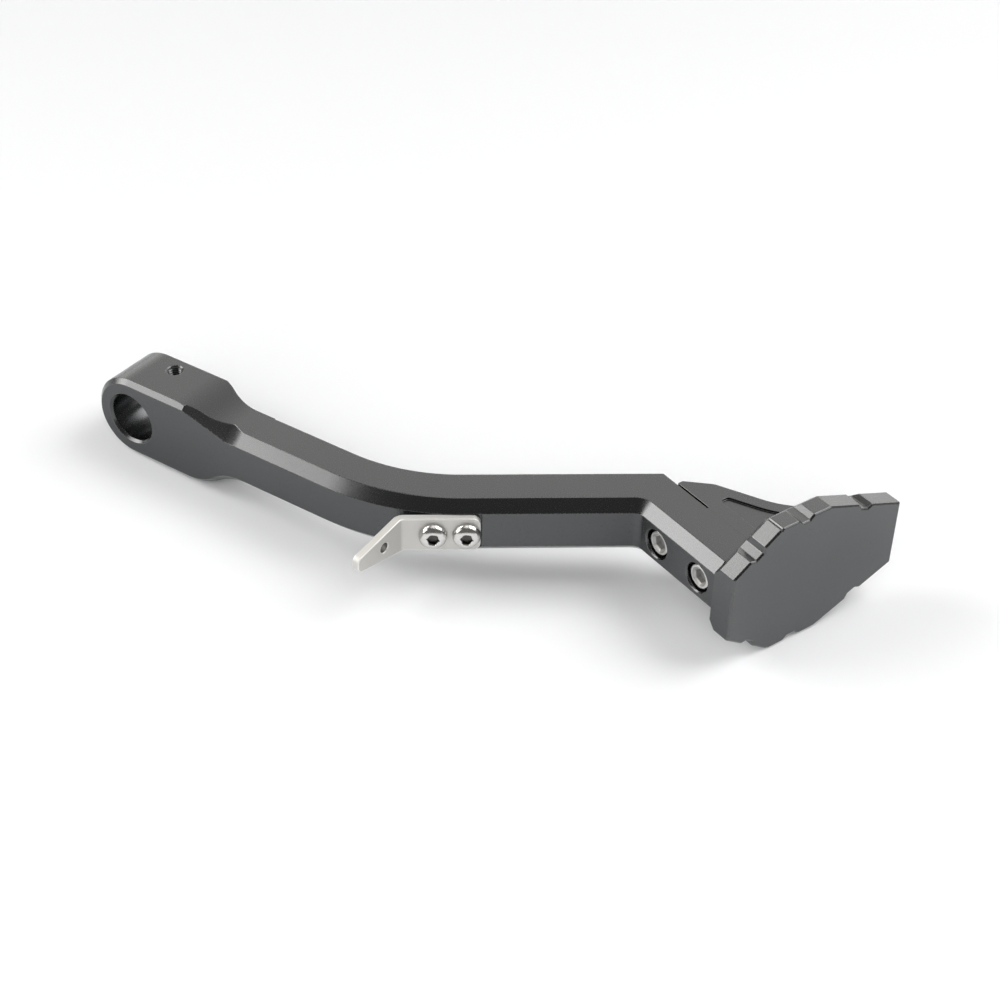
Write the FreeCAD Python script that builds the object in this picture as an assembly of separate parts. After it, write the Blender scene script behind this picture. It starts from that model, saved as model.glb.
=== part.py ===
import FreeCAD, Part
import math
import os

# Side stand: a chamfered dog-leg arm that turns on a pivot bolt, with a bolted foot and a spring bracket.
# Frame: origin on the pivot axis in the middle of the eye, Y along the pivot, X along the first leg, Z up.

# Pivot eye
bore_dia = 20.0
bore_edge = 0.6
eye_radius = 17.0
eye_depth = 25.5
eye_edge = 1.8
stop_hole_dia = 6.0
stop_hole_depth = 8.5
stop_hole_edge = 0.5
stop_hole_x = 9.2
stop_hole_y = 4.5

# Where the eye narrows to the arm, measured from the pivot
top_drop_start = 23.0
top_drop_length = 25.5
under_drop_start = 28.0
under_drop_length = 27.0
back_drop_start = 21.0
back_drop_length = 29.0
facet_start = 28.0
facet_slant = 1.6
facet_blend = 6.0
neck_end = 58.0

# Arm section and path
arm_depth = 18.6
arm_height = 23.4
arm_rise = 1.9
arm_chamfer = 4.2
back_edge_break = 0.4
lead_length = 124.0
first_bend_angle = 36.3
first_bend_radius = 67.0
middle_length = 91.4
second_bend_angle = 56.7
inner_corner_radius = 4.0
end_length = 41.7

# Foot plate
plate_depth = 10.0
plate_width = 79.2
plate_height = 55.0
plate_side_height = 27.6
plate_rise = -0.4
heel_run = 20.3
toe_run = 36.2
plate_back_edge = 2.5
plate_face_edge = 0.6
groove_width = 7.2
groove_floor = 3.4
groove_depth = 1.7
corner_nick_width = 1.6
corner_nick_depth = 0.6

# Web that joins the plate to the arm
web_tip_reach = 2.2
web_tip_width = 3.0
web_shoulder_x = 5.6
web_shoulder_width = 11.4
web_shoulder_radius = 8.0
web_slope_angle = 27.0
web_sweep_start = 22.0
web_rim = 4.9
web_plate_rim = 4.5
pocket_start = 14.5
pocket_seam_rim = 6.6
pocket_depth = 0.85
pocket_corner = 1.6
seam_slot_end = 15.2
seam_slot_width = 0.8
seam_slot_depth = 3.0

# Foot screws, socket heads sunk in the arm
screw_dia = 6.0
screw_clearance = 0.6
cap_head_dia = 10.0
cap_head_height = 6.0
cap_head_edge = 0.6
cap_key = 5.0
cap_key_depth = 3.0
foot_screw_length = 20.0
foot_screw_first = 10.4
foot_screw_pitch = 22.5
counterbore_clearance = 1.2
counterbore_edge = 0.5
head_sink = 2.0
thread_run_out = 1.0
screw_tip = 0.8

# Spring bracket and its button-head screws
bracket_thickness = 3.0
bracket_height = 14.2
bracket_end = 34.2
bracket_bend_start = 6.7
bracket_bend_radius = 2.0
bracket_bend_angle = 50.0
bracket_corner = 3.0
tab_length = 22.6
tab_tip_height = 5.6
tab_tip_round = 2.5
spring_hole_dia = 4.0
spring_hole_reach = 8.6
seat_depth = 0.6
seat_margin = 0.4
button_first = 17.0
button_pitch = 12.1
button_head_dia = 10.5
button_head_height = 3.3
button_top_dia = 5.4
button_bulge_height = 0.5
button_key = 4.0
button_key_depth = 2.0
button_length = 14.0

V = FreeCAD.Vector
up = V(0, 0, 1)
near = 1e-4

front_y = -eye_depth / 2
arm_top = arm_rise + arm_height / 2
arm_under = arm_rise - arm_height / 2
back_y = front_y + arm_depth
middle_heading = first_bend_angle
end_heading = first_bend_angle - second_bend_angle


def heading(angle):
    return V(math.cos(math.radians(angle)), math.sin(math.radians(angle)), 0)


def leftwards(angle):
    return heading(angle + 90)


lead_corner = V(lead_length, front_y, 0)
foot_corner = lead_corner + heading(middle_heading) * middle_length
middle_place = FreeCAD.Placement(lead_corner, FreeCAD.Rotation(up, middle_heading))
end_place = FreeCAD.Placement(foot_corner, FreeCAD.Rotation(up, end_heading))


def path_edges(steps):
    # A step is a point, or a (start, through, end) triple for an arc.
    edges = []
    last = None
    for step in steps:
        first = step[0] if isinstance(step, tuple) else step
        if last is not None and last.distanceToPoint(first) > near:
            edges.append(Part.makeLine(last, first))
        last = first
        if isinstance(step, tuple):
            edges.append(Part.Arc(*step).toShape())
            last = step[2]
    return edges


def closed_face(steps):
    start = steps[0][0] if isinstance(steps[0], tuple) else steps[0]
    return Part.Face(Part.Wire(path_edges(steps + [start])))


def rounded(before, corner, after, radius):
    # Arc of the given radius that replaces a corner.
    into = (before - corner).normalize()
    out = (after - corner).normalize()
    half = into.getAngle(out) / 2
    reach = radius / math.tan(half)
    middle = (into + out).normalize()
    centre = corner + middle * (radius / math.sin(half))
    return (corner + into * reach, centre - middle * radius, corner + out * reach)


def s_curve(start, end, run, drop):
    # Two equal arcs, level at both ends, along the unit directions run and drop.
    span = end - start
    half_run = span.dot(run) / 2
    half_drop = span.dot(drop) / 2
    radius = (half_run ** 2 + half_drop ** 2) / (2 * half_drop)
    angle = math.atan2(half_drop, half_run)
    step = run * (radius * math.sin(angle)) + drop * (radius * (1 - math.cos(angle)))
    middle = (start + end) * 0.5
    return [(start, start + step, middle), (middle, end - step, end)]


def revolve_y(points):
    face = Part.Face(Part.makePolygon(points + [points[0]]))
    return face.revolve(V(0, 0, 0), V(0, 1, 0), 360)


def edge_cone(radius, edge, at, axis):
    # Cutter for the broken edge of a hole whose mouth is at the given point.
    return Part.makeCone(radius + edge, radius, edge, at, axis)


def eye_disc():
    half = eye_depth / 2
    rim = eye_radius - eye_edge
    shoulder = half - eye_edge
    return revolve_y([
        V(0, -half, 0),
        V(rim, -half, 0),
        V(eye_radius, -shoulder, 0),
        V(eye_radius, shoulder, 0),
        V(rim, half, 0),
        V(0, half, 0),
    ])


def neck_side():
    # Side view of the eye narrowing to the arm.
    run = V(1, 0, 0)
    top_from = V(top_drop_start, 0, eye_radius)
    top_to = V(top_drop_start + top_drop_length, 0, arm_top)
    under_from = V(under_drop_start, 0, -eye_radius)
    under_to = V(under_drop_start + under_drop_length, 0, arm_under)
    under = [(c, b, a) for a, b, c in reversed(s_curve(under_from, under_to, run, up))]
    steps = [V(0, 0, eye_radius)]
    steps += s_curve(top_from, top_to, run, -up)
    steps += [V(neck_end, 0, arm_top), V(neck_end, 0, arm_under)]
    steps += under
    steps += [V(0, 0, -eye_radius)]
    face = closed_face(steps)
    face.translate(V(0, -eye_depth / 2, 0))
    return face.extrude(V(0, eye_depth, 0))


def neck_plan():
    half = eye_depth / 2
    wide = V(back_drop_start, half, 0)
    narrow = V(back_drop_start + back_drop_length, back_y, 0)
    bend = [(c, b, a) for a, b, c in reversed(s_curve(wide, narrow, V(1, 0, 0), V(0, -1, 0)))]
    steps = [V(0, -half, 0), V(neck_end, -half, 0), V(neck_end, back_y, 0)]
    steps += bend
    steps += [V(0, half, 0)]
    face = closed_face(steps)
    face.translate(V(0, 0, -eye_radius))
    return face.extrude(V(0, 0, 2 * eye_radius))


def slanted_cut(steps, side_y, lean):
    # Chamfer cutter: the outline on one face of the eye, swept on the slant.
    face = closed_face(steps)
    face.translate(V(0, side_y, 0))
    return face.extrude(lean * eye_depth)


def slant_section(x, low, slant):
    # Section of a chamfer cutter across the arm: it leaves the front face at the given height.
    rise = V(0, slant, 1) * eye_depth
    corner = V(x, front_y, low)
    ring = [corner, corner + rise, corner + V(0, 0, rise.z), corner]
    return Part.makePolygon(ring)


def top_front_chamfers():
    # Small edge on the eye, a flatter facet down the neck, and a blend to the arm's chamfer.
    rim = eye_radius - eye_edge
    flat = arm_top - arm_chamfer
    facet_end = top_drop_start + top_drop_length
    stations = [
        [slant_section(0, rim, 1), slant_section(facet_start, rim, 1)],
        [slant_section(facet_start, rim, facet_slant), slant_section(facet_end, flat, facet_slant)],
        [slant_section(facet_end, flat, facet_slant), slant_section(facet_end + facet_blend, flat, 1)],
        [slant_section(facet_end + facet_blend, flat, 1), slant_section(neck_end, flat, 1)],
    ]
    return [Part.makeLoft(pair, True, True) for pair in stations]


def neck_chamfers():
    reach = 3 * eye_radius
    rim = eye_radius - eye_edge
    under_flat = arm_under + arm_chamfer
    under_from = V(under_drop_start, 0, -rim)
    under_to = V(under_drop_start + under_drop_length, 0, under_flat)
    under = [V(0, 0, -rim)]
    under += s_curve(under_from, under_to, V(1, 0, 0), up)
    under += [V(neck_end, 0, under_flat), V(neck_end, 0, -reach), V(0, 0, -reach)]
    back_top = [V(0, 0, rim), V(neck_end, 0, rim), V(neck_end, 0, reach), V(0, 0, reach)]
    back_under = [V(p.x, 0, -p.z) for p in back_top]
    return top_front_chamfers() + [
        slanted_cut(under, front_y, V(0, 1, -1)),
        slanted_cut(back_top, -front_y, V(0, -1, 1)),
        slanted_cut(back_under, -front_y, V(0, -1, -1)),
    ]


def neck():
    body = neck_side().common(neck_plan())
    return body.cut(neck_chamfers())


def front_path():
    # Front edge of the arm in plan, from the neck to the foot plate.
    into = heading(middle_heading)
    out = heading(end_heading)
    outer = first_bend_radius + arm_depth
    start = V(neck_end, front_y, 0)
    bend = rounded(start, lead_corner, foot_corner, outer)
    end = foot_corner + out * end_length
    corner = rounded(foot_corner - into * middle_length, foot_corner, end, inner_corner_radius)
    return [start, bend, corner, end]


def back_path():
    into = leftwards(middle_heading)
    out = leftwards(end_heading)
    start = V(neck_end, back_y, 0)
    side = leftwards(0)
    inner = lead_corner + (side + into) * (arm_depth / (1 + side.dot(into)))
    outer = foot_corner + (into + out) * (arm_depth / (1 + into.dot(out)))
    end = foot_corner + heading(end_heading) * end_length + out * arm_depth
    bend = rounded(start, inner, outer, first_bend_radius)
    return [end, outer, (bend[2], bend[1], bend[0]), start]


def edges_over(body, plan, levels):
    # Edges of the body that lie over a plan path at one of the given heights.
    found = []
    for edge in body.Edges:
        middle = edge.valueAt((edge.FirstParameter + edge.LastParameter) / 2)
        level = any(abs(middle.z - z) < near for z in levels)
        below = Part.Vertex(V(middle.x, middle.y, 0))
        if level and plan.distToShape(below)[0] < near:
            found.append(edge)
    return found


def bent_bar():
    face = closed_face(front_path() + back_path())
    face.translate(up * arm_under)
    bar = face.extrude(up * arm_height)
    levels = [arm_under, arm_top]
    front = Part.Wire(path_edges(front_path()))
    bar = bar.makeChamfer(arm_chamfer, edges_over(bar, front, levels))
    back = Part.Wire(path_edges(back_path()[1:]))
    return bar.makeChamfer(back_edge_break, edges_over(bar, back, levels))


def pivot_bore():
    half = eye_depth / 2
    radius = bore_dia / 2
    bore = Part.makeCylinder(radius, eye_depth, V(0, -half, 0), V(0, 1, 0))
    front = edge_cone(radius, bore_edge, V(0, -half, 0), V(0, 1, 0))
    back = edge_cone(radius, bore_edge, V(0, half, 0), V(0, -1, 0))
    return bore.fuse([front, back])


def stop_hole():
    at = V(stop_hole_x, stop_hole_y, eye_radius)
    radius = stop_hole_dia / 2
    hole = Part.makeCylinder(radius, stop_hole_depth, at, -up)
    return hole.fuse(edge_cone(radius, stop_hole_edge, at, -up))


def foot_screw_points():
    # Screw axes on the front face of the end leg.
    first = V(foot_screw_first, 0, arm_rise)
    return [first, first + V(foot_screw_pitch, 0, 0)]


def counterbored_hole(at):
    inward = V(0, 1, 0)
    radius = (cap_head_dia + counterbore_clearance) / 2
    through = Part.makeCylinder((screw_dia + screw_clearance) / 2, arm_depth, at, inward)
    pocket = Part.makeCylinder(radius, head_sink + cap_head_height, at, inward)
    return through.fuse([pocket, edge_cone(radius, counterbore_edge, at, inward)])


def button_points():
    first = V(button_first, seat_depth, arm_rise)
    return [first, first + V(button_pitch, 0, 0)]


def bracket_seat():
    # Flat milled across the outside of the first bend, with the bracket's height plus a margin.
    length = bracket_end + seat_margin
    height = bracket_height + 2 * seat_margin
    corner = V(0, -arm_depth, arm_rise - height / 2)
    return Part.makeBox(length, arm_depth + seat_depth, height, corner)


def bracket_thread(at):
    depth = button_length - bracket_thickness + thread_run_out
    return Part.makeCylinder(screw_dia / 2, depth, at, V(0, 1, 0))


def pivot_eye():
    # The eye and neck are one piece with the arm, split off where the arm's section starts.
    body = eye_disc().fuse(neck())
    return body.cut([pivot_bore(), stop_hole()]).removeSplitter()


def stand_arm():
    end_cuts = [counterbored_hole(at) for at in foot_screw_points()]
    middle_cuts = [bracket_seat()] + [bracket_thread(at) for at in button_points()]
    for cut in end_cuts:
        cut.Placement = end_place.multiply(cut.Placement)
    for cut in middle_cuts:
        cut.Placement = middle_place.multiply(cut.Placement)
    return bent_bar().cut(end_cuts + middle_cuts).removeSplitter()


def plate_corners():
    # Upper half of the plate's outline, from the arm side to the toe.
    side = plate_rise + plate_side_height / 2
    high = plate_rise + plate_height / 2
    return [
        V(end_length, 0, side),
        V(end_length, heel_run, high),
        V(end_length, plate_width - toe_run, high),
        V(end_length, plate_width, side),
    ]


def mirrored(points):
    return [V(p.x, p.y, 2 * plate_rise - p.z) for p in points]


def rim_cut(centre, along, width, floor, depth):
    # Groove across the rim of the plate; along is the direction of the rim in the outline.
    outward = V(0, -along.z, along.y)
    wide = along * (width / 2)
    narrow = along * (floor / 2)
    points = [
        centre - wide + outward * depth,
        centre - wide,
        centre - narrow - outward * depth,
        centre + narrow - outward * depth,
        centre + wide,
        centre + wide + outward * depth,
    ]
    face = Part.Face(Part.makePolygon(points + [points[0]]))
    return face.extrude(V(plate_depth, 0, 0))


def rim_grooves():
    top = plate_corners()
    cuts = []
    for start, end in zip(top, top[1:]):
        along = (end - start).normalize()
        centre = (start + end) * 0.5
        cuts.append(rim_cut(centre, along, groove_width, groove_floor, groove_depth))
    before = (top[1] - top[0]).normalize()
    after = (top[2] - top[1]).normalize()
    cuts.append(rim_cut(top[1], (before + after).normalize(), corner_nick_width, 0.0, corner_nick_depth))
    return cuts + [cut.mirror(V(0, 0, plate_rise), up) for cut in cuts]


def foot_plate():
    top = plate_corners()
    points = top + list(reversed(mirrored(top)))
    face = Part.Face(Part.makePolygon(points + [points[0]]))
    body = face.extrude(V(plate_depth, 0, 0))
    back_edges = []
    for edge in body.Edges:
        box = edge.BoundBox
        if box.XMax < end_length + near and box.YMax > near:
            back_edges.append(edge)
    body = body.makeChamfer(plate_back_edge, back_edges)
    body = body.cut(rim_grooves()).removeSplitter()
    face_x = end_length + plate_depth
    face_edges = [e for e in body.Edges if e.BoundBox.XMin > face_x - near]
    return body.makeChamfer(plate_face_edge, face_edges)


def web_sweep():
    # The web's rear edge runs straight, then sweeps round to lie along the plate.
    slope = heading(web_slope_angle)
    shoulder = V(web_shoulder_x, arm_depth + web_shoulder_width, 0)
    start = shoulder + slope * ((web_sweep_start - web_shoulder_x) / slope.x)
    meet = shoulder + slope * ((end_length - web_shoulder_x) / slope.x)
    reach = start.distanceToPoint(meet)
    radius = reach / math.tan(math.radians(90 - web_slope_angle) / 2)
    centre = start + leftwards(web_slope_angle) * radius
    return shoulder, start, meet, centre, radius


def web_outline():
    shoulder, start, meet, _, radius = web_sweep()
    tip = V(-web_tip_reach, arm_depth + web_tip_width, 0)
    end = V(end_length, meet.y + start.distanceToPoint(meet), 0)
    return [
        V(-web_tip_reach, arm_depth, 0),
        tip,
        rounded(tip, shoulder, start, web_shoulder_radius),
        rounded(start, meet, end, radius),
        V(end_length, arm_depth, 0),
    ]


def web_pocket():
    _, start, _, centre, radius = web_sweep()
    inset = leftwards(web_slope_angle) * web_rim
    slope = heading(web_slope_angle)
    seam_side = arm_depth + pocket_seam_rim
    far_x = end_length - web_plate_rim
    turn = start - inset
    left = turn - slope * ((turn.x - pocket_start) / slope.x)
    outer = radius + web_rim
    far = V(far_x, centre.y - math.sqrt(outer ** 2 - (far_x - centre.x) ** 2), 0)
    across = ((turn - centre).normalize() + (far - centre).normalize()).normalize()
    steps = [
        V(pocket_start, seam_side, 0),
        left,
        (turn, centre + across * outer, far),
        V(far_x, seam_side, 0),
    ]
    pocket = closed_face(steps).extrude(up * (2 * pocket_depth))
    upright = [e for e in pocket.Edges if e.BoundBox.ZLength > pocket_depth]
    sharp = [e for e in upright if e.valueAt(e.FirstParameter).distanceToLine(turn, up) > near]
    return pocket.makeFillet(pocket_corner, sharp)


def foot_web():
    face = closed_face(web_outline())
    face.translate(up * arm_under)
    body = face.extrude(up * arm_height)
    cuts = []
    for level in (arm_top, arm_under):
        pocket = web_pocket()
        pocket.translate(up * (level - pocket_depth))
        slot_corner = V(-web_tip_reach, arm_depth, level - seam_slot_depth)
        slot_length = web_tip_reach + seam_slot_end
        cuts.append(pocket)
        cuts.append(Part.makeBox(slot_length, seam_slot_width, 2 * seam_slot_depth, slot_corner))
    depth = head_sink + cap_head_height + foot_screw_length + thread_run_out - arm_depth
    for at in foot_screw_points():
        mouth = at + V(0, arm_depth, 0)
        cuts.append(Part.makeCylinder(screw_dia / 2, depth, mouth, V(0, 1, 0)))
    return body.cut(cuts)


def foot():
    body = foot_plate().fuse(foot_web()).removeSplitter()
    body.Placement = end_place.multiply(body.Placement)
    return body


def hex_socket(across_flats, depth):
    # Six-sided key hole open at Y zero.
    corner = across_flats / math.sqrt(3)
    points = [heading(60 * i) * corner for i in range(7)]
    ring = [V(p.x, 0, p.y) for p in points]
    return Part.Face(Part.makePolygon(ring)).extrude(V(0, depth, 0))


def screw_shank(seat, length):
    radius = screw_dia / 2
    end = seat + length
    return [
        V(radius, seat, 0),
        V(radius, end - screw_tip, 0),
        V(radius - screw_tip, end, 0),
        V(0, end, 0),
    ]


def cap_screw():
    # Head face at Y zero, shank towards +Y.
    radius = cap_head_dia / 2
    points = [
        V(0, 0, 0),
        V(radius - cap_head_edge, 0, 0),
        V(radius, cap_head_edge, 0),
        V(radius, cap_head_height, 0),
    ]
    body = revolve_y(points + screw_shank(cap_head_height, foot_screw_length))
    return body.cut(hex_socket(cap_key, cap_key_depth))


def button_screw():
    # Seat of the head at Y zero, domed side towards -Y.
    radius = button_head_dia / 2
    top = button_top_dia / 2
    crown = V(top, -button_head_height, 0)
    rim = V(radius, 0, 0)
    chord = rim - crown
    outward = V(chord.y, -chord.x, 0).normalize()
    dome = (crown, (crown + rim) * 0.5 + outward * button_bulge_height, rim)
    steps = [V(0, -button_head_height, 0), dome] + screw_shank(0, button_length)
    body = closed_face(steps).revolve(V(0, 0, 0), V(0, 1, 0), 360)
    key = hex_socket(button_key, button_key_depth)
    key.translate(V(0, -button_head_height, 0))
    return body.cut(key)


def placed_copies(shape, points, place):
    copies = []
    for at in points:
        copy = shape.copy()
        copy.Placement = place.multiply(FreeCAD.Placement(at, FreeCAD.Rotation()))
        copies.append(copy)
    return Part.makeCompound(copies)


def foot_screws():
    points = [at + V(0, head_sink, 0) for at in foot_screw_points()]
    return placed_copies(cap_screw(), points, end_place)


def bracket_screws():
    points = [at - V(0, bracket_thickness, 0) for at in button_points()]
    return placed_copies(button_screw(), points, middle_place)


def bracket_flat():
    low = arm_rise - bracket_height / 2
    front = seat_depth - bracket_thickness
    length = bracket_end - bracket_bend_start
    plate = Part.makeBox(length, bracket_thickness, bracket_height, V(bracket_bend_start, front, low))
    corners = []
    for edge in plate.Edges:
        box = edge.BoundBox
        if box.XMin > bracket_end - near and box.YLength > bracket_thickness / 2:
            corners.append(edge)
    plate = plate.makeFillet(bracket_corner, corners)
    hole = (screw_dia + screw_clearance) / 2
    holes = []
    for at in button_points():
        holes.append(Part.makeCylinder(hole, bracket_thickness, at, V(0, -1, 0)))
    return plate.cut(holes)


def bracket_bend_part():
    # Quarter-ring of the folded strip, turned about an upright line in front of the flat.
    low = arm_rise - bracket_height / 2
    centre = V(bracket_bend_start, seat_depth - bracket_thickness - bracket_bend_radius, low)
    outer = bracket_bend_radius + bracket_thickness
    ring = Part.makeCylinder(outer, bracket_height, centre, up, bracket_bend_angle)
    ring = ring.cut(Part.makeCylinder(bracket_bend_radius, bracket_height, centre, up))
    ring.rotate(centre, up, 90)
    return ring


def bracket_tab():
    # Tapered tab in its own frame: X along the tab, Y through the thickness.
    root = bracket_height / 2
    tip = tab_tip_height / 2
    low_tip = V(tab_length, 0, -tip)
    high_tip = V(tab_length, 0, tip)
    low_root = V(0, 0, -root)
    high_root = V(0, 0, root)
    steps = [
        low_root,
        rounded(low_root, low_tip, high_tip, tab_tip_round),
        rounded(low_tip, high_tip, high_root, tab_tip_round),
        high_root,
    ]
    tab = closed_face(steps).extrude(V(0, -bracket_thickness, 0))
    at = V(spring_hole_reach, 0, 0)
    tab = tab.cut(Part.makeCylinder(spring_hole_dia / 2, bracket_thickness, at, V(0, -1, 0)))
    turn = 90 + bracket_bend_angle
    centre = V(bracket_bend_start, seat_depth - bracket_thickness - bracket_bend_radius, arm_rise)
    base = centre + heading(turn) * bracket_bend_radius
    tab.Placement = FreeCAD.Placement(base, FreeCAD.Rotation(up, turn + 90))
    return tab


def spring_bracket():
    body = bracket_flat().fuse([bracket_bend_part(), bracket_tab()]).removeSplitter()
    body.Placement = middle_place.multiply(body.Placement)
    return body


nodes = {
    "pivot_eye": pivot_eye,
    "stand_arm": stand_arm,
    "foot": foot,
    "foot_screws": foot_screws,
    "spring_bracket": spring_bracket,
    "bracket_screws": bracket_screws,
}

os.makedirs("parts", exist_ok=True)
for name, make in nodes.items():
    shape = make()
    shape.exportStep("parts/" + name + ".step")
    print(name, "solids", len(shape.Solids), "valid", shape.isValid(), "volume", round(shape.Volume, 1))
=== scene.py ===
import math
import bmesh
import bpy
import numpy as np
from mathutils import Matrix, Vector


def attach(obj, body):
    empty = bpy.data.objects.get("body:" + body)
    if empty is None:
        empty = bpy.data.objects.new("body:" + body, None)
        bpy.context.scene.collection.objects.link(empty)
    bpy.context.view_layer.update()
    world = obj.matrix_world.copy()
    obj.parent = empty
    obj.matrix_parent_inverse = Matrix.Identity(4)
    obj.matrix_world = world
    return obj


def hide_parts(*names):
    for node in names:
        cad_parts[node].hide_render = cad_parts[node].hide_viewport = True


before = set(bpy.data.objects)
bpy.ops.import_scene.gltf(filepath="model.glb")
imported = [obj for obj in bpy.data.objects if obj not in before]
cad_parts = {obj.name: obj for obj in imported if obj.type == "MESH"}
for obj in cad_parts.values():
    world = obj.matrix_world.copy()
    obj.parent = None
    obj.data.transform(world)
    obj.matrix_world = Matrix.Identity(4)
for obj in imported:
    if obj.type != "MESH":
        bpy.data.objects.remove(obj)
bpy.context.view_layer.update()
print("frame loaded, nodes:", sorted(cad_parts))

mm = 0.001
scene = bpy.context.scene
scene.view_settings.view_transform = "Standard"

# where the legs of the arm turn, as the CAD part has them, in millimetres and degrees
legs = {
    "leadCorner": (124.0, -12.75),
    "middleTurn": 36.3,
    "middleLength": 91.4,
    "endTurn": -20.4,
    "armRise": 1.9,
    "neckEnd": 58.0,
    "armDepth": 18.6,
    "endLength": 41.7,
    "slotEnd": 15.2,
}
# how near counts as touching, in millimetres, and how flat counts as one face, in degrees
near = {
    "pole": 0.0002,
    "weld": 0.004,
    "cut": 0.0001,
    "neck": 0.002,
    "face": 0.005,
    "point": 0.02,
    "flat": 0.4,
}


def legFrame(corner, turn):
    # columns: along the leg, into the arm, up
    a = math.radians(turn)
    place = np.eye(4)
    place[:3, 0] = (math.cos(a), math.sin(a), 0)
    place[:3, 1] = (-math.sin(a), math.cos(a), 0)
    place[:2, 3] = corner
    return place


middleFrame = legFrame(legs["leadCorner"], legs["middleTurn"])
footCorner = middleFrame[:2, 3] + middleFrame[:2, 0] * legs["middleLength"]
endFrame = legFrame(footCorner, legs["endTurn"])


# mesh helpers
def meshFromArrays(name, points, faces):
    mesh = bpy.data.meshes.new(name)
    mesh.from_pydata(points.tolist(), [], faces.tolist())
    mesh.update()
    obj = bpy.data.objects.new(name, mesh)
    scene.collection.objects.link(obj)
    return obj


def readArray(items, key, width=1, kind=np.float32):
    # one value of every item in a mesh, as a list or as rows of the given width
    values = np.empty(len(items) * width, kind)
    items.foreach_get(key, values)
    return values if width == 1 else values.reshape(-1, width)


def faceCentres(obj):
    return readArray(obj.data.polygons, "center", 3)


def paintFaces(obj, picked, finish):
    # picked faces take the finish with that number, counted from nought, and the others the first
    obj.data.polygons.foreach_set("material_index", (picked * finish).astype(np.int32))


def gridFaces(rows, cols, closeRows=False, closeCols=True):
    # quads of a rows x cols grid, wrapped round where asked
    r = np.arange(rows if closeRows else rows - 1)
    c = np.arange(cols if closeCols else cols - 1)
    a, b = np.meshgrid(r, c, indexing="ij")
    up, side = (a + 1) % rows, (b + 1) % cols
    return np.stack([a * cols + b, a * cols + side, up * cols + side, up * cols + b], -1).reshape(-1, 4)


def smoothBelow(mesh, angle):
    mesh.polygons.foreach_set("use_smooth", np.ones(len(mesh.polygons), bool))
    mesh.set_sharp_from_angle(angle=math.radians(angle))


def tidySurface(obj, angle):
    # merges poles and seams, faces outwards, smooths below the given angle
    bm = bmesh.new()
    bm.from_mesh(obj.data)
    bmesh.ops.remove_doubles(bm, verts=bm.verts, dist=near["pole"] * mm)
    bmesh.ops.recalc_face_normals(bm, faces=bm.faces)
    bm.to_mesh(obj.data)
    bm.free()
    smoothBelow(obj.data, angle)


def cadTriangles(names):
    # corners of every triangle of the named nodes, as one array
    parts = []
    for name in names:
        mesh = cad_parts[name].data
        mesh.calc_loop_triangles()
        points = readArray(mesh.vertices, "co", 3)
        parts.append(points[readArray(mesh.loop_triangles, "vertices", 3, np.int32)])
    return np.concatenate(parts)


def edgeAngles(mesh):
    # angle between the two faces at each edge, zero on open edges
    normals = readArray(mesh.polygon_normals, "vector", 3)
    loopEdge = readArray(mesh.loops, "edge_index", kind=np.int32)
    sizes = readArray(mesh.polygons, "loop_total", kind=np.int32)
    loopFace = np.repeat(np.arange(len(sizes)), sizes)
    order = np.argsort(loopEdge, kind="stable")
    edges, faces = loopEdge[order], loopFace[order]
    pair = np.nonzero(edges[:-1] == edges[1:])[0]
    angles = np.zeros(len(mesh.edges))
    dots = (normals[faces[pair]] * normals[faces[pair + 1]]).sum(-1)
    angles[edges[pair]] = np.degrees(np.arccos(np.clip(dots, -1, 1)))
    return angles


def weldFaces(mesh, cuts, merge):
    # welds loose triangles, closes open rings of any length, joins flat faces,
    # drops picked points, then cuts by planes
    bm = bmesh.new()
    bm.from_mesh(mesh)
    bmesh.ops.remove_doubles(bm, verts=bm.verts, dist=near["weld"] * mm)
    bmesh.ops.holes_fill(bm, edges=[e for e in bm.edges if e.is_boundary], sides=0)
    bmesh.ops.dissolve_limit(bm, angle_limit=math.radians(near["flat"]), verts=bm.verts, edges=bm.edges)
    if merge is not None:
        bmesh.ops.dissolve_verts(bm, verts=[v for v in bm.verts if merge(v.co / mm)])
    for point, across in cuts:
        everything = bm.verts[:] + bm.edges[:] + bm.faces[:]
        bmesh.ops.bisect_plane(bm, geom=everything, dist=near["cut"] * mm, plane_co=point, plane_no=across)
    bm.to_mesh(mesh)
    bm.free()


def breakEdges(obj, style, skipEdge):
    # a narrow bevel on each edge over the sharp angle, apart from those to skip
    mesh = obj.data
    broken = edgeAngles(mesh) > style["sharpAngle"]
    if skipEdge is not None:
        points = readArray(mesh.vertices, "co", 3)
        broken &= ~skipEdge(points[readArray(mesh.edges, "vertices", 2, np.int32)])
    weight = mesh.attributes.new("bevel_weight_edge", "FLOAT", "EDGE")
    weight.data.foreach_set("value", broken.astype(np.float32))
    smoothBelow(mesh, style["flatAngle"])
    bevel = obj.modifiers.new("edgeBreak", "BEVEL")
    bevel.width = style["edgeBreak"] * mm
    bevel.segments = style["edgeSteps"]
    bevel.limit_method = "WEIGHT"
    bevel.use_clamp_overlap = False
    bevel.harden_normals = True
    # the bevel faces take the second finish, lighter: a painted highlight along the broken edges
    bevel.material = 1  # the piece's second finish


def weldedCopy(name, nodes, style, prepare=None, skipEdge=None, cuts=(), merge=None):
    # the CAD nodes' triangles as one welded surface with its edges broken
    corners = cadTriangles(nodes)
    if prepare is not None:
        corners = prepare(corners)
    obj = meshFromArrays(name, corners.reshape(-1, 3), np.arange(len(corners) * 3).reshape(-1, 3))
    weldFaces(obj.data, cuts, merge)
    breakEdges(obj, style, skipEdge)
    return obj


# finishes
grainLook = {
    "cloudDetail": 3.0,
    "cloudRoughness": 0.5,
    "dustDetail": 2.0,
    "dustRoughness": 0.6,
    "noiseRange": (0.3, 0.7),
}


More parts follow.
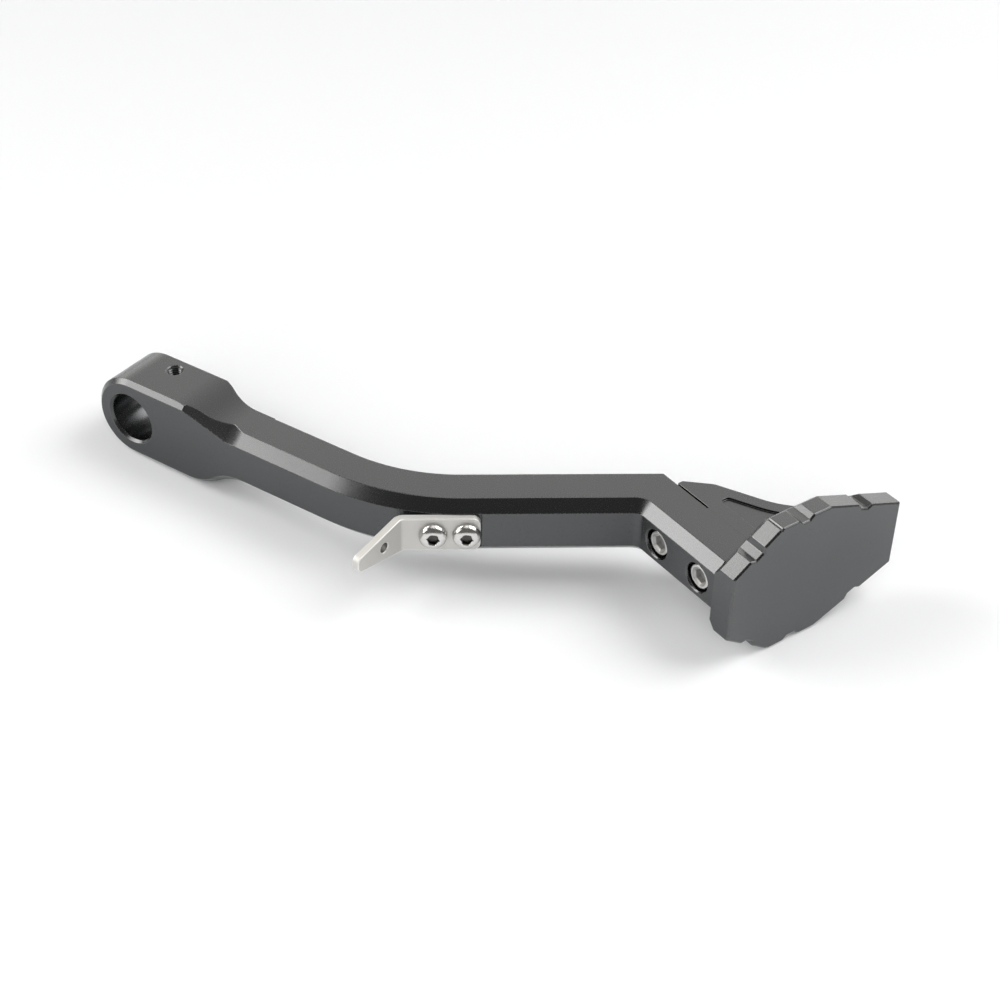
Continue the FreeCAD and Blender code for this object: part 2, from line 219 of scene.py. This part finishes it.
def newFinish(name):
    mat = bpy.data.materials.new(name)
    mat.use_nodes = True
    nodes = mat.node_tree.nodes
    shader = nodes["Principled BSDF"]
    where = nodes.new("ShaderNodeTexCoord")
    return mat, nodes, mat.node_tree.links, shader, where


def grain(nodes, links, where, scale, detail, roughness, stretch=None):
    # noise on the object's coordinates, drawn out where a stretch is given
    noise = nodes.new("ShaderNodeTexNoise")
    noise.inputs["Scale"].default_value = scale
    noise.inputs["Detail"].default_value = detail
    noise.inputs["Roughness"].default_value = roughness
    if stretch is None:
        links.new(where.outputs["Object"], noise.inputs["Vector"])
    else:
        pull = nodes.new("ShaderNodeMapping")
        pull.inputs["Scale"].default_value = stretch
        links.new(where.outputs["Object"], pull.inputs["Vector"])
        links.new(pull.outputs["Vector"], noise.inputs["Vector"])
    return noise.outputs["Fac"]


def span(nodes, links, value, low, high):
    # noise stretched to a range of numbers
    mapRange = nodes.new("ShaderNodeMapRange")
    fromMin, fromMax = mapRange.inputs["From Min"], mapRange.inputs["From Max"]
    fromMin.default_value, fromMax.default_value = grainLook["noiseRange"]
    mapRange.inputs["To Min"].default_value = low
    mapRange.inputs["To Max"].default_value = high
    links.new(value, mapRange.inputs["Value"])
    return mapRange.outputs["Result"]


def twoTone(nodes, links, value, first, second):
    mix = nodes.new("ShaderNodeMix")
    mix.data_type = "RGBA"
    mix.inputs["A"].default_value = (*first, 1)
    mix.inputs["B"].default_value = (*second, 1)
    links.new(value, mix.inputs["Factor"])
    return mix.outputs["Result"]


def metalFinish(name, look):
    # broad clouds and fine dust mix two tones; the dust also sets roughness and bump
    d = grainLook
    mat, nodes, links, shader, where = newFinish(name)
    shader.inputs["Metallic"].default_value = look["metallic"]
    cloud = grain(nodes, links, where, look["cloudScale"], d["cloudDetail"], d["cloudRoughness"])
    stretch = look.get("stretch")
    dust = grain(nodes, links, where, look["dustScale"], d["dustDetail"], d["dustRoughness"], stretch)
    blend = nodes.new("ShaderNodeMath")
    blend.operation = "MULTIPLY_ADD"
    blend.inputs[1].default_value = look["dustShare"]
    links.new(dust, blend.inputs[0])
    links.new(span(nodes, links, cloud, 0.0, 1.0 - look["dustShare"]), blend.inputs[2])
    colour = twoTone(nodes, links, blend.outputs["Value"], look["dark"], look["light"])
    links.new(colour, shader.inputs["Base Color"])
    links.new(span(nodes, links, dust, *look["roughness"]), shader.inputs["Roughness"])
    bump = nodes.new("ShaderNodeBump")
    bump.inputs["Strength"].default_value = look["bumpStrength"]
    bump.inputs["Distance"].default_value = look["bumpHeight"] * mm
    links.new(dust, bump.inputs["Height"])
    links.new(bump.outputs["Normal"], shader.inputs["Normal"])
    return mat


greyAnodise = {
    "metallic": 1.0,
    "dark": (0.0945, 0.0972, 0.0992),
    "light": (0.1035, 0.1062, 0.1082),
    "cloudScale": 24.0,
    "dustScale": 1900.0,
    "dustShare": 0.3,
    "roughness": (0.235, 0.28),
    "bumpStrength": 0.02,
    "bumpHeight": 0.03,
}
# lighter broken edges of the grey parts: a painted highlight along them
greyEdgePaintedHighlight = {
    **greyAnodise,
    "dark": (0.1105, 0.111, 0.1115),
    "light": (0.131, 0.132, 0.1325),
    "roughness": (0.24, 0.3),
}
# the ground plate, painted a touch lighter than the rest: a painted reflection of the bright floor beside
# it
plateAnodisePaintedSheen = {
    **greyAnodise,
    "dark": (0.1125, 0.1155, 0.1175),
    "light": (0.1225, 0.1255, 0.1275),
}
silverAnodise = {
    "metallic": 0.8,
    "dark": (0.54, 0.53, 0.505),
    "light": (0.62, 0.61, 0.585),
    "cloudScale": 60.0,
    "dustScale": 1500.0,
    "dustShare": 0.5,
    "roughness": (0.5, 0.6),
    "bumpStrength": 0.08,
    "bumpHeight": 0.03,
    "stretch": (1, 1, 0.25),
}
# lighter, glossier broken edges of the bracket: a painted highlight along them
silverEdgePaintedHighlight = {
    **silverAnodise,
    "dark": (0.7, 0.7, 0.68),
    "light": (0.8, 0.8, 0.78),
    "roughness": (0.35, 0.45),
}
# painted shade on the spring hole's wall, darker than the bracket
springHolePaintedShade = {
    **silverAnodise,
    "dark": (0.10, 0.098, 0.094),
    "light": (0.15, 0.147, 0.142),
}
stainless = {
    "metallic": 1.0,
    "dark": (0.60, 0.59, 0.575),
    "light": (0.68, 0.67, 0.655),
    "cloudScale": 90.0,
    "dustScale": 1400.0,
    "dustShare": 0.5,
    "roughness": (0.16, 0.24),
    "bumpStrength": 0.06,
    "bumpHeight": 0.02,
}
# painted shade inside the button screws' key holes, darker than the steel
socketPaintedShade = {
    **stainless,
    "dark": (0.10, 0.097, 0.092),
    "light": (0.17, 0.165, 0.158),
    "roughness": (0.35, 0.5),
}
# painted shade inside the cap screws' key holes, less dark than in the button screws
capSocketPaintedShade = {
    **socketPaintedShade,
    "metallic": 0.5,
    "dark": (0.25, 0.25, 0.24),
    "light": (0.33, 0.325, 0.315),
}

armFinish = metalFinish("armAnodise", greyAnodise)
footFinish = metalFinish("footAnodise", greyAnodise)
platePaintedSheenFinish = metalFinish("plateAnodisePaintedSheen", plateAnodisePaintedSheen)
edgePaintedHighlightFinish = metalFinish("brokenEdge", greyEdgePaintedHighlight)
bracketFinish = metalFinish("bracketSilver", silverAnodise)
bracketEdgePaintedHighlightFinish = metalFinish("bracketEdge", silverEdgePaintedHighlight)
springHolePaintedShadeFinish = metalFinish("springHole", springHolePaintedShade)
screwFinish = metalFinish("screwStainless", stainless)
socketPaintedShadeFinish = metalFinish("screwSocket", socketPaintedShade)
capSocketPaintedShadeFinish = metalFinish("capSocket", capSocketPaintedShade)
print("finishes made")


def dress(obj, slot, *finishes):
    for finish in finishes:
        obj.data.materials.append(finish)
    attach(obj, "root")


# arm
armStyle = {"edgeBreak": 0.2, "edgeSteps": 2, "sharpAngle": 24.0, "flatAngle": 23.0, "faceWeight": 100}
boreMouth = {"radius": 10.0, "break": 0.6, "widerBy": 0.45, "eyeHalf": 12.75}
footSeam = {"reach": 0.04, "early": 0.05}
neckBlend = {"from": 48.6, "to": 54.4, "front": -4.0, "above": 8.0}


def endLegPoints(points):
    # points in mm along, into and up from the end leg's front corner
    return (points.reshape(-1, 3) / mm - endFrame[:3, 3]) @ endFrame[:3, :3]


def widerBore(points, d):
    # moves the two rings of the bore's broken mouth apart: one outwards, one deeper
    reach, depth = np.hypot(points[:, 0], points[:, 2]) / mm, np.abs(points[:, 1]) / mm
    wide, deep = d["radius"] + d["break"], d["eyeHalf"] - d["break"]
    onFace = (np.abs(reach - wide) < near["point"]) & (depth > d["eyeHalf"] - near["point"])
    onWall = (np.abs(reach - d["radius"]) < near["point"]) & (np.abs(depth - deep) < near["point"])
    grow = 1 + onFace * d["widerBy"] / wide
    sink = np.sign(points[:, 1]) * onWall * d["widerBy"] * mm
    return np.stack([points[:, 0] * grow, points[:, 1] - sink, points[:, 2] * grow], -1)


def besideFoot(local, reach):
    # points on the back of the end leg where the foot's web lies against it
    atBack = np.abs(local[:, 1] - legs["armDepth"]) < reach
    return atBack & (local[:, 0] > legs["slotEnd"] - footSeam["early"])


def joinedArm(corners):
    # drops the two caps where the eye meets the arm, and lets the back of the end leg reach into the foot
    atNeck = np.abs(corners[:, :, 0] - legs["neckEnd"] * mm).max(axis=1) < near["neck"] * mm
    points = corners[~atNeck].reshape(-1, 3)
    atFoot = besideFoot(endLegPoints(points), near["face"])
    points = points + np.outer(atFoot * footSeam["reach"] * mm, endFrame[:3, 1])
    return widerBore(points, boreMouth).reshape(-1, 3, 3)


def onFootSeam(ends):
    # edges where the arm meets the foot: the end of the leg and its back side
    local = endLegPoints(ends)
    atEnd = np.abs(local[:, 0] - legs["endLength"]) < near["point"]
    atBack = besideFoot(local, footSeam["reach"] + near["point"])
    return (atEnd | atBack).reshape(-1, 2).all(axis=1)


def onArmSeam(ends):
    # edges where the eye joins the arm, and those at the foot
    atNeck = np.abs(ends[:, :, 0] - legs["neckEnd"] * mm) < near["neck"] * mm
    return atNeck.all(axis=1) | onFootSeam(ends)


def inNeckBlend(p):
    # points of the patch between the neck's facet and the broad chamfer
    d = neckBlend
    return d["from"] < p.x < d["to"] and p.y < d["front"] and p.z > d["above"]


# the back of the end leg is cut where its slot ends, because only the part beyond lies on the foot
slotPoint = Vector((endFrame[:3, 3] + endFrame[:3, 0] * legs["slotEnd"]) * mm)
slotPlane = (slotPoint, Vector(endFrame[:3, 0]))
arm = weldedCopy(
    "standArm",
    ["pivot_eye", "stand_arm"],
    armStyle,
    prepare=joinedArm,
    skipEdge=onArmSeam,
    cuts=[slotPlane],
    merge=inNeckBlend,
)
flatten = arm.modifiers.new("flatFaces", "WEIGHTED_NORMAL")  # broad faces stay flat beside the blends
flatten.mode = "FACE_AREA"
flatten.weight = armStyle["faceWeight"]
flatten.keep_sharp = True
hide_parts("pivot_eye", "stand_arm")
dress(arm, "arm_anodised", armFinish, edgePaintedHighlightFinish)
print("arm made,", len(arm.data.polygons), "faces")

# foot
footStyle = {"edgeBreak": 0.2, "edgeSteps": 2, "sharpAngle": 20.0, "flatAngle": 12.0, "plateMargin": 0.1}
foot = weldedCopy("standFoot", ["foot"], footStyle, skipEdge=onFootSeam)
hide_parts("foot")
dress(foot, "foot_anodised", footFinish, edgePaintedHighlightFinish, platePaintedSheenFinish)
plateStart = legs["endLength"] - footStyle["plateMargin"]
# the plate's faces take the lighter finish, a painted reflection of the bright floor
paintFaces(foot, endLegPoints(faceCentres(foot))[:, 0] > plateStart, 2)
print("foot made,", len(foot.data.polygons), "faces")

# spring bracket
bracketStyle = {"edgeBreak": 0.35, "edgeSteps": 3, "sharpAngle": 40.0, "flatAngle": 24.0}
springHole = {
    "at": (127.957, -20.686, 1.9),
    "axis": (0.997916, -0.064532, 0.0),
    "radius": 2.0,
    "margin": 0.05,
    "wallTilt": 0.3,
}


def inSpringHole(obj, d):
    # faces of the hole's wall: they look across its axis and lie within its radius
    axis = np.array(d["axis"])
    offset = faceCentres(obj) / mm - np.array(d["at"])
    away = np.linalg.norm(offset - np.outer(offset @ axis, axis), axis=1)
    onWall = np.abs(readArray(obj.data.polygon_normals, "vector", 3) @ axis) < d["wallTilt"]
    return onWall & (away < d["radius"] + d["margin"])


bracket = weldedCopy("springBracket", ["spring_bracket"], bracketStyle)
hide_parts("spring_bracket")
dress(bracket, "bracket_silver", bracketFinish, bracketEdgePaintedHighlightFinish, springHolePaintedShadeFinish)
# the hole's wall takes the dark finish: painted shade inside the hole
paintFaces(bracket, inSpringHole(bracket, springHole), 2)
print("bracket made,", len(bracket.data.polygons), "faces")

# screws: first what all four share
screwForm = {
    "around": 96,
    "smoothBelow": 32.0,
    "shank": 3.0,
    "pitch": 1.0,
    "threadDepth": 0.5,
    "rowsPerTurn": 8,
    "neck": 1.0,
    "seatGap": 0.01,
    "threadGap": 0.05,
    "tip": 0.8,
    "keyCone": 0.7,
    "keyFloor": 0.97,
    "keyStep": 0.02,
    "keyLip": 0.12,
}
footScrew = {
    **screwForm,
    "places": [(10.4, 1.1), (32.9, 1.1)],
    "headRadius": 5.0,
    "headHeight": 6.9,
    "headEdge": 0.8,
    "edgeRings": 6,
    "underEdge": 0.3,
    "key": 5.0,
    "keyDepth": 3.0,
    "mouth": (3.7, 0.9),
    "paintedShadeRings": 4,
    "length": 20.0,
    "keyTurn": 12.0,
}
bracketScrew = {
    **screwForm,
    "places": [(17.0, -2.4), (29.1, -2.4)],
    "headRadius": 5.25,
    "headHeight": 3.3,
    "topRadius": 2.7,
    "bulge": 0.75,
    "domeRings": 12,
    "rimHeight": 0.25,
    "rimEdge": 0.1,
    "key": 4.0,
    "keyDepth": 2.0,
    "mouth": (2.45, 0.3),
    "paintedShadeRings": 3,
    "length": 14.0,
    "keyTurn": 20.0,
}


def socketRows(d, face):
    # key hole from its coned floor up to its broken mouth: radius, depth, share of hexagon
    flat = d["key"] / 2
    mouth, mouthDepth = d["mouth"]
    deep = face + d["keyDepth"]
    return [
        (0.0, deep + d["keyCone"], 0),
        (flat * d["keyFloor"], deep, 0),
        (flat, deep - d["keyStep"], 1),
        (flat, face + mouthDepth, 1),
        (mouth, face + d["keyStep"], 0),
        (mouth + d["keyLip"], face, 0),
    ]


def shankRows(d, seat):
    # plain neck, then the thread, then the chamfered tip; the last column switches the thread on
    r, tip = d["shank"], d["tip"]
    start, end = seat + d["neck"], seat + d["length"] - tip
    count = int((end - start) / d["pitch"] * d["rowsPerTurn"])
    rows = [(r, seat + d["seatGap"], 0, 0), (r, start - d["threadGap"], 0, 0)]
    rows += [(r, y, 0, 1) for y in np.linspace(start, end, count)]
    rows += [(r - tip, end + tip, 0, 0), (0.0, end + tip, 0, 0)]
    return rows


def capHeadRows(d):
    # key hole, quarter-round top edge, straight side, small chamfer below
    r, e, under = d["headRadius"], d["headEdge"], d["underEdge"]
    arc = np.radians(np.linspace(0, 90, d["edgeRings"]))
    rows = socketRows(d, 0.0)
    rows += [(r - e + e * math.sin(a), e - e * math.cos(a), 0) for a in arc]
    rows += [(r, d["headHeight"] - under, 0), (r - under, d["headHeight"], 0)]
    return [(*row, 0) for row in rows] + shankRows(d, d["headHeight"])


def buttonHeadRows(d):
    # the dome bulges from the chord between crown and rim by a parabola, highest at its middle
    crown = np.array([d["topRadius"], -d["headHeight"]])
    rim = np.array([d["headRadius"], -d["rimHeight"]])
    chord = rim - crown
    out = np.array([chord[1], -chord[0]]) / np.hypot(*chord)
    t = np.linspace(0, 1, d["domeRings"])[:, None]
    dome = crown + chord * t + out * (4 * d["bulge"] * t * (1 - t))
    rows = socketRows(d, -d["headHeight"])
    rows += [(x, y, 0) for x, y in dome]
    rows += [(d["headRadius"], -d["rimEdge"], 0), (d["headRadius"] - d["rimEdge"], 0.0, 0)]
    return [(*row, 0) for row in rows] + shankRows(d, 0.0)


def threadWave(level, turn, pitch):
    # triangle wave of level minus turn, between nought and one
    return np.abs(((level / pitch - turn / (2 * np.pi)) % 1) * 2 - 1)


def screwSurface(name, d, rows, place):
    # surface of revolution about the screw's axis: radius is a circle or a hexagon round the axis,
    # and on the thread it falls by a triangle wave of depth minus turn
    table = np.array(rows)
    turn = np.linspace(0, 2 * np.pi, d["around"], endpoint=False)
    hexagon = 1 / np.cos((turn + np.pi / 6) % (np.pi / 3) - np.pi / 6)
    radius = table[:, :1] * (1 + table[:, 2:3] * (hexagon - 1))
    radius = radius - table[:, 3:4] * d["threadDepth"] * threadWave(table[:, 1:2], turn, d["pitch"])
    angle = turn + math.radians(d["keyTurn"])
    points = []
    for along, depth in d["places"]:
        local = np.stack([
            along + radius * np.cos(angle),
            depth + np.broadcast_to(table[:, 1:2], radius.shape),
            legs["armRise"] + radius * np.sin(angle),
        ], -1).reshape(-1, 3)
        points.append(local @ place[:3, :3].T + place[:3, 3])
    faces = gridFaces(len(table), d["around"])
    every = np.concatenate([faces + i * len(points[0]) for i in range(len(points))])
    obj = meshFromArrays(name, np.concatenate(points) * mm, every)
    # the key hole's faces take the second finish: painted shade inside the socket
    inSocket = np.arange(len(faces)) < d["paintedShadeRings"] * d["around"]  # the first rings are the key hole
    paintFaces(obj, np.tile(inSocket, len(points)), 1)
    tidySurface(obj, d["smoothBelow"])
    return obj


footScrews = screwSurface("footScrews", footScrew, capHeadRows(footScrew), endFrame)
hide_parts("foot_screws")
dress(footScrews, "stainless", screwFinish, capSocketPaintedShadeFinish)
bracketScrews = screwSurface("bracketScrews", bracketScrew, buttonHeadRows(bracketScrew), middleFrame)
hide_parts("bracket_screws")
dress(bracketScrews, "stainless", screwFinish, socketPaintedShadeFinish)
print("screws made")

# thread in the stop hole
stopThread = {
    "at": (9.2, 4.5),
    "top": 16.4,
    "deep": 8.0,
    "radius": 2.99,
    "wall": 0.02,
    "pitch": 1.0,
    "threadDepth": 0.5,
    "rowsPerTurn": 8,
    "around": 72,
    "smoothBelow": 40.0,
}


def threadLiner(name, d):
    # sleeve: its inner wall falls in and out with height minus turn, its outer wall is the hole
    turn = np.linspace(0, 2 * np.pi, d["around"], endpoint=False)
    count = int(d["deep"] / d["pitch"] * d["rowsPerTurn"])
    height = np.linspace(d["top"] - d["deep"], d["top"], count)[:, None]
    inner = d["radius"] - d["wall"] - d["threadDepth"] * threadWave(height, turn, d["pitch"])
    outer = np.full((2, len(turn)), d["radius"])
    radius = np.concatenate([inner, outer])
    level = np.concatenate([height, height[[-1, 0]]])
    points = np.stack([
        d["at"][0] + radius * np.cos(turn),
        d["at"][1] + radius * np.sin(turn),
        np.broadcast_to(level, radius.shape),
    ], -1).reshape(-1, 3)
    obj = meshFromArrays(name, points * mm, gridFaces(len(radius), len(turn), closeRows=True))
    tidySurface(obj, d["smoothBelow"])
    return obj


thread = threadLiner("stopThread", stopThread)
dress(thread, "arm_anodised", armFinish)
print("stop thread made")

# floor, backdrop and light
studio = {
    "restTilt": 2.53,
    "eyeRadius": 17.0,
    "floorGap": 0.03,
    "floorSize": 6.0,
    "floorGrid": 9,
    "floorTone": (0.93, 0.935, 0.945),
    "floorRoughness": 0.9,
    "floorShine": 0.1,
    "floorFade": (0.42, 0.85),
    "ambient": 0.21,
    "wallTone": (1.0, 0.985, 0.955),
    "wallLight": 2.6,
    "wallByHeight": [(0.0, 0.86), (0.14, 0.88), (0.6, 0.46), (0.8, 0.24), (1.0, 0.2)],
    "wallTowards": 108.0,
    "wallFade": (0.4, 1.0),
    "darkRoom": 0.15,
    "horizonBand": (0.10, 0.03),
}


def direction(azimuth, elevation):
    a, e = math.radians(azimuth), math.radians(elevation)
    return Vector((math.cos(a) * math.cos(e), math.sin(a) * math.cos(e), math.sin(e)))


def mathNode(nodes, links, kind, first, second):
    step = nodes.new("ShaderNodeMath")
    step.operation = kind
    links.new(first, step.inputs[0])
    links.new(second, step.inputs[1])
    return step


def vectorNode(nodes, links, kind, value, other=None):
    step = nodes.new("ShaderNodeVectorMath")
    step.operation = kind
    links.new(value, step.inputs[0])
    if other is not None:
        step.inputs[1].default_value = other
    return step


def softStep(nodes, links, value, limits, top=1.0):
    # nought at the first limit, top at the second, eased at both
    step = nodes.new("ShaderNodeMapRange")
    step.interpolation_type = "SMOOTHSTEP"
    step.inputs["From Min"].default_value, step.inputs["From Max"].default_value = limits
    step.inputs["To Max"].default_value = top
    links.new(value, step.inputs["Value"])
    return step.outputs["Result"]


def seenRay(nodes, links):
    # one for rays that the camera, a mirror or glass sends out
    path = nodes.new("ShaderNodeLightPath")
    seen = path.outputs["Is Camera Ray"]
    for ray in ("Is Glossy Ray", "Is Transmission Ray"):
        seen = mathNode(nodes, links, "MAXIMUM", seen, path.outputs[ray]).outputs["Value"]
    return seen


def makeFloor(d):
    # plane under the eye's round and the plate's lower edge: it falls along x by the tilt at rest
    tilt = math.radians(d["restTilt"])
    count = d["floorGrid"]
    u = np.linspace(-d["floorSize"] / 2, d["floorSize"] / 2, count)
    x, y = np.meshgrid(u, u, indexing="ij")
    z = -(d["eyeRadius"] * mm + x * math.sin(tilt)) / math.cos(tilt) - d["floorGap"] * mm
    points = np.stack([x, y, z], -1).reshape(-1, 3)
    obj = meshFromArrays("floor", points, gridFaces(count, count, closeCols=False))
    mat, nodes, links, shader, where = newFinish("paleFloor")
    shader.inputs["Base Color"].default_value = (*d["floorTone"], 1)
    shader.inputs["Roughness"].default_value = d["floorRoughness"]
    shader.inputs["Specular IOR Level"].default_value = d["floorShine"]
    # far from the object the floor runs out into plain white
    far = vectorNode(nodes, links, "LENGTH", where.outputs["Object"]).outputs["Value"]
    fade = softStep(nodes, links, far, d["floorFade"])
    share = mathNode(nodes, links, "MULTIPLY", fade, seenRay(nodes, links))
    white = nodes.new("ShaderNodeEmission")
    mix = nodes.new("ShaderNodeMixShader")
    links.new(share.outputs["Value"], mix.inputs["Fac"])
    links.new(shader.outputs["BSDF"], mix.inputs[1])
    links.new(white.outputs["Emission"], mix.inputs[2])
    links.new(mix.outputs["Shader"], nodes["Material Output"].inputs["Surface"])
    obj.data.materials.append(mat)


def paleWall(nodes, links, ray, height, d):
    # a pale wall that fades with height, and to both sides into the dark room
    ramp = nodes.new("ShaderNodeValToRGB")
    ramp.color_ramp.interpolation = "EASE"
    stops = ramp.color_ramp.elements
    while len(stops) < len(d["wallByHeight"]):
        stops.new(0.5)  # each gets its own place below
    for stop, (level, light) in zip(stops, d["wallByHeight"]):
        stop.position = level
        stop.color = (light, light, light, 1)
    links.new(height, ramp.inputs["Fac"])
    flat = vectorNode(nodes, links, "MULTIPLY", ray, (1, 1, 0))
    unit = vectorNode(nodes, links, "NORMALIZE", flat.outputs["Vector"])
    wallSide = direction(d["wallTowards"], 0)
    dot = vectorNode(nodes, links, "DOT_PRODUCT", unit.outputs["Vector"], wallSide)
    side = softStep(nodes, links, dot.outputs["Value"], d["wallFade"], d["wallLight"])
    wall = mathNode(nodes, links, "MULTIPLY_ADD", ramp.outputs["Color"], side)
    wall.inputs[2].default_value = d["darkRoom"]
    return wall.outputs["Value"]


def makeWorld(d):
    # what is seen and mirrored: a white band at the horizon and the wall above it;
    # matt surfaces get an even light instead
    world = bpy.data.worlds.new("studioWorld")
    scene.world = world
    world.use_nodes = True
    nodes, links = world.node_tree.nodes, world.node_tree.links
    back = nodes["Background"]
    ray = nodes.new("ShaderNodeTexCoord").outputs["Generated"]
    split = nodes.new("ShaderNodeSeparateXYZ")
    links.new(ray, split.inputs["Vector"])
    height = split.outputs["Z"]
    band = softStep(nodes, links, height, d["horizonBand"])
    backdrop = nodes.new("ShaderNodeMix")
    backdrop.inputs["B"].default_value = 1.0
    links.new(band, backdrop.inputs["Factor"])
    links.new(paleWall(nodes, links, ray, height, d), backdrop.inputs["A"])
    pick = nodes.new("ShaderNodeMix")
    pick.inputs["A"].default_value = d["ambient"]
    links.new(seenRay(nodes, links), pick.inputs["Factor"])
    links.new(backdrop.outputs["Result"], pick.inputs["B"])
    links.new(twoTone(nodes, links, band, d["wallTone"], (1, 1, 1)), back.inputs["Color"])
    links.new(pick.outputs["Result"], back.inputs["Strength"])


makeFloor(studio)
makeWorld(studio)

# each lamp: azimuth and elevation, distance, width and height, power, and the rays it is hidden from
lamps = {
    "leftSoftbox": ((-141, 26), 2.0, (1.6, 1.07), 23.3, "diffuse"),
    "cornerSoftbox": ((-152, 31), 2.0, (0.45, 0.8), 2.1, "diffuse"),
    "farLeftSoftbox": ((-174, 43), 2.0, (0.9, 1.0), 13.0, "diffuse"),
    "topSoftbox": ((0, 88), 1.6, (0.9, 0.9), 2.4, "diffuse"),
    "backRightKey": ((45, 48), 1.5, (1.09, 1.2), 14.8, None),
    "frontFill": ((-70, 26), 1.6, (1.9, 1.6), 21.0, "glossy"),
    "leftFill": ((-150, 40), 2.0, (1.2, 1.0), 17.5, "glossy"),
}
lampAim = (0.13, 0.02, 0)
mirroredTone = (1.0, 0.975, 0.95)  # of the lamps that show in reflections alone


def softbox(name, towards, distance, size, power, hidden):
    lamp = bpy.data.lights.new(name, "AREA")
    lamp.shape = "RECTANGLE"
    lamp.size, lamp.size_y = size
    lamp.energy = power
    lamp.color = mirroredTone if hidden == "diffuse" else (1, 1, 1)
    obj = bpy.data.objects.new(name, lamp)
    scene.collection.objects.link(obj)
    out = direction(*towards)
    obj.location = Vector(lampAim) + out * distance
    obj.rotation_euler = out.to_track_quat("Z", "Y").to_euler()
    obj.visible_diffuse = hidden != "diffuse"
    obj.visible_glossy = hidden != "glossy"


for lampName, lampLook in lamps.items():
    softbox(lampName, *lampLook)
print("studio made")

# camera, as the photograph was taken
view = {
    "at": (0.460, -0.44842, 0.44057),
    "look": (-0.43559, 0.66126, -0.61073),
    "right": (0.82614, 0.56309, 0.02045),
    "lens": 70.09,
    "sensor": 36.0,
    "clip": (0.01, 50.0),
}


def makeCamera(d):
    data = bpy.data.cameras.new("photoCamera")
    data.lens = d["lens"]
    data.sensor_width = d["sensor"]
    data.clip_start, data.clip_end = d["clip"]
    obj = bpy.data.objects.new("photoCamera", data)
    scene.collection.objects.link(obj)
    look, right = Vector(d["look"]).normalized(), Vector(d["right"]).normalized()
    up = right.cross(look)
    place = Matrix((right, up, -look)).transposed().to_4x4()
    place.translation = d["at"]
    obj.matrix_world = place
    scene.camera = obj


makeCamera(view)
print("camera set")
